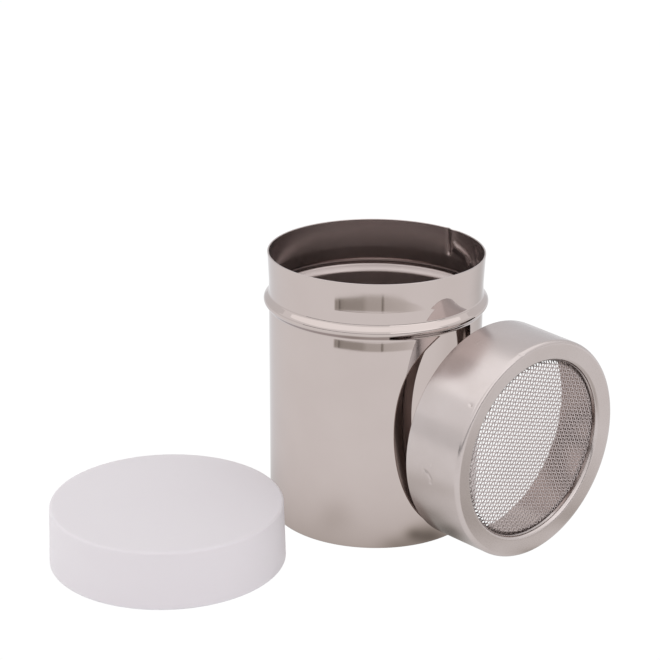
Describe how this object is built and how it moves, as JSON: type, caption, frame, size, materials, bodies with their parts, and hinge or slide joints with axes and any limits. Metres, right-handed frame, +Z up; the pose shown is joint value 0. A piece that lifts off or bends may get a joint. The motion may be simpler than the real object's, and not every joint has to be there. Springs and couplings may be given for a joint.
{
  "type": "spice shaker",
  "caption": "Round stainless steel spice shaker: open drawn cup with a rolled bead, push-on woven mesh lid standing on edge beside it, and a frosted plastic dust cap.",
  "frame": {"origin": "centre of the cup's flat base, on the surface that it stands on", "axes": "+Z up along the cup's axis, -Y towards the viewer, +X to the viewer's right; the dust cap lies towards -X and the mesh lid stands towards +X"},
  "size_m": [0.1803, 0.1152, 0.0905],
  "materials": {
    "polished_steel": "polished",
    "satin_steel": "satin polished",
    "mesh_steel": "drawn wire",
    "ring_steel": "pressed, satin",
    "frosted_plastic": "frosted, translucent"
  },
  "bodies": {
    "cup": {"cup_body": "polished_steel"},
    "mesh_lid": {"lid_shell": "satin_steel", "mesh_warp_wires": "mesh_steel", "mesh_weft_wires": "mesh_steel", "mesh_retaining_ring": "ring_steel"},
    "dust_cap": {"dust_cap": "frosted_plastic"}
  },
  "joints": [
    {"name": "mesh_lid_lift", "type": "slide", "parent": "cup", "child": "mesh_lid", "axis": [0, 0, 1], "range_m": [0, 0.12]},
    {"name": "dust_cap_lift", "type": "slide", "parent": "cup", "child": "dust_cap", "axis": [0, 0, 1], "range_m": [0, 0.12]}
  ]
}
